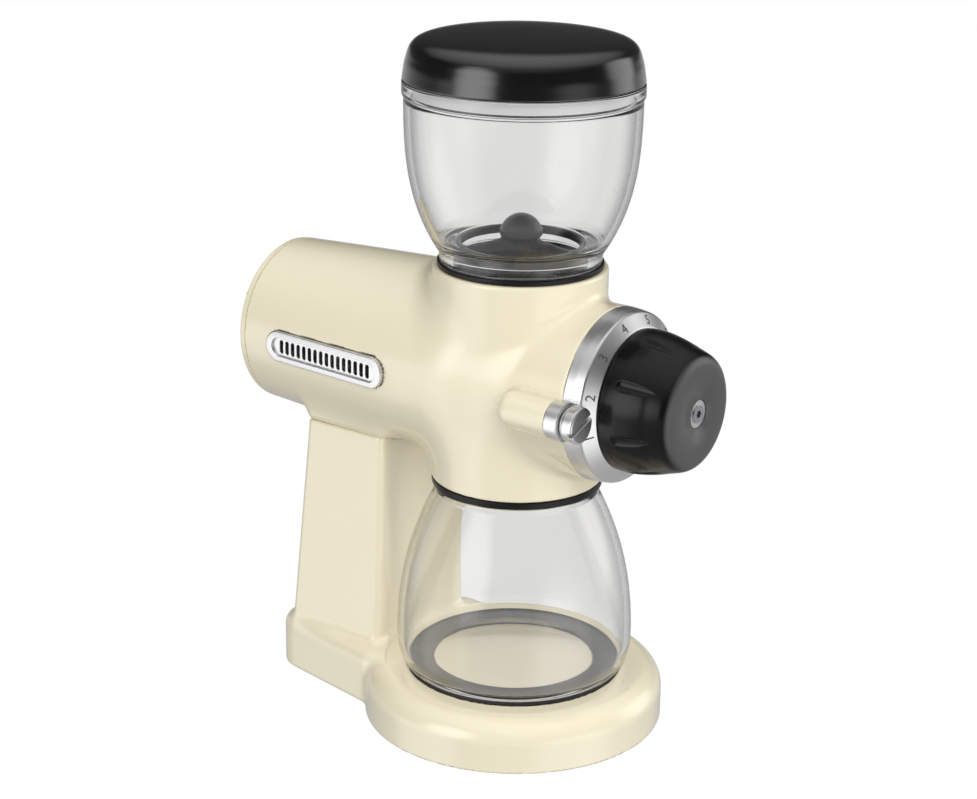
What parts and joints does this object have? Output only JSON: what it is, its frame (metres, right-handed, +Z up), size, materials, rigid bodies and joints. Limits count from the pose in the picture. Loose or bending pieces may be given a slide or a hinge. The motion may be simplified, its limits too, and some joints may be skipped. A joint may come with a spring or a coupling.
{
  "type": "electric burr coffee grinder",
  "caption": "Electric burr coffee grinder with a glass bean hopper, cast body, front grind dial knob, rear motor housing, pedestal on a round base and a glass jar",
  "frame": {"origin": "middle of the bounding box on the table plane under the feet", "axes": "+X to the right of the dial, +Y to the rear of the motor housing, +Z up"},
  "size_m": [0.1534, 0.251, 0.3514],
  "materials": {
    "enamel": "gloss enamel on cast aluminium",
    "gloss_black": "gloss",
    "matte_black": "satin",
    "black_rubber": "matte",
    "grey_silicone": "satin, translucent",
    "satin_aluminium": "satin",
    "steel": "machined",
    "bronze": "machined",
    "iron": "dull",
    "nylon": "satin",
    "board": "satin",
    "clear_glass": "clear"
  },
  "bodies": {
    "housing": {"body_casting": "enamel", "rear_cover": "enamel", "rear_cover_screws": "steel", "pedestal": "enamel", "neck_screws": "steel", "base_plate": "matte_black", "base_screws": "steel", "rubber_feet": "black_rubber", "jar_mat": "black_rubber", "discharge_seal": "matte_black", "hopper_gasket": "matte_black", "vent_left": "satin_aluminium", "vent_right": "satin_aluminium", "gear_plate": "satin_aluminium", "gear_plate_screws": "steel", "motor_can": "steel", "field_magnets": "iron", "motor_end_cap": "matte_black", "brush_holders": "bronze", "motor_screws": "steel", "auger_bush": "bronze", "auger_seal": "black_rubber", "layshaft_bushes": "bronze", "motor_bushes": "bronze", "switch_bezel": "matte_black", "cord_gland": "matte_black", "control_board": "board"},
    "hopper": {"hopper_glass": "clear_glass", "bean_guard": "matte_black"},
    "lid": {"hopper_lid": "gloss_black", "lid_seal": "grey_silicone"},
    "jar": {"jar_glass": "clear_glass"},
    "front": {"front_cover": "satin_aluminium"},
    "grip": {"knob": "gloss_black", "knob_washer": "satin_aluminium", "knob_screw": "steel", "adjusting_screw": "steel"},
    "carrier": {"burr_carrier": "satin_aluminium", "outer_burr": "steel", "outer_burr_screws": "steel"},
    "left_screw": {"thumb_screw_left": "satin_aluminium"},
    "right_screw": {"thumb_screw_right": "satin_aluminium"},
    "drive": {"drive_shaft": "steel", "auger": "steel", "drive_plate": "satin_aluminium", "inner_burr": "steel", "inner_burr_screws": "steel", "burr_nut": "steel", "output_gear": "nylon"},
    "lay": {"layshaft": "steel", "layshaft_gear": "nylon"},
    "rotor": {"motor_shaft": "steel", "armature": "iron", "commutator": "bronze", "motor_pinion": "steel", "cooling_fan": "matte_black"},
    "rocker": {"switch_rocker": "gloss_black"}
  },
  "joints": [
    {"name": "hopper_lift", "type": "slide", "parent": "housing", "child": "hopper", "axis": [0, 0, 1], "range_m": [0, 0.06]},
    {"name": "lid_lift", "type": "slide", "parent": "hopper", "child": "lid", "axis": [0, 0, 1], "range_m": [0, 0.06]},
    {"name": "jar_out", "type": "slide", "parent": "housing", "child": "jar", "axis": [0, -1, 0], "range_m": [0, 0.16]},
    {"name": "cover_off", "type": "slide", "parent": "housing", "child": "front", "axis": [0, -1, 0], "range_m": [0, 0.05]},
    {"name": "knob_turn", "type": "hinge", "parent": "front", "child": "grip", "pos_m": [0, -0.10615, 0.184], "axis": [0, 1, 0], "range_deg": [-150, 60]},
    {"name": "burr_adjust", "type": "slide", "parent": "front", "child": "carrier", "axis": [0, -1, 0], "range_m": [-0.00084, 0.00034]},
    {"name": "left_screw_turn", "type": "hinge", "parent": "front", "child": "left_screw", "pos_m": [-0.0485, -0.08715, 0.184], "axis": [0, 1, 0], "continuous": true},
    {"name": "right_screw_turn", "type": "hinge", "parent": "front", "child": "right_screw", "pos_m": [0.0485, -0.08715, 0.184], "axis": [0, 1, 0], "continuous": true},
    {"name": "motor_spin", "type": "hinge", "parent": "housing", "child": "rotor", "pos_m": [0, 0.07885, 0.184], "axis": [0, 1, 0], "continuous": true},
    {"name": "layshaft_spin", "type": "hinge", "parent": "housing", "child": "lay", "pos_m": [0, 0.03885, 0.163], "axis": [0, 1, 0], "continuous": true},
    {"name": "drive_spin", "type": "hinge", "parent": "housing", "child": "drive", "pos_m": [0, 0.01885, 0.184], "axis": [0, 1, 0], "continuous": true},
    {"name": "switch_press", "type": "hinge", "parent": "housing", "child": "rocker", "pos_m": [0.03081, 0.06685, 0.08788], "axis": [0, -1, 0], "range_deg": [0, 16]}
  ],
  "couplings": [
    {"joint": "burr_adjust", "follows": "knob_turn", "m_per_rad": 0.00031831},
    {"joint": "layshaft_spin", "follows": "motor_spin", "ratio": -0.27273},
    {"joint": "drive_spin", "follows": "motor_spin", "ratio": 0.090909}
  ]
}
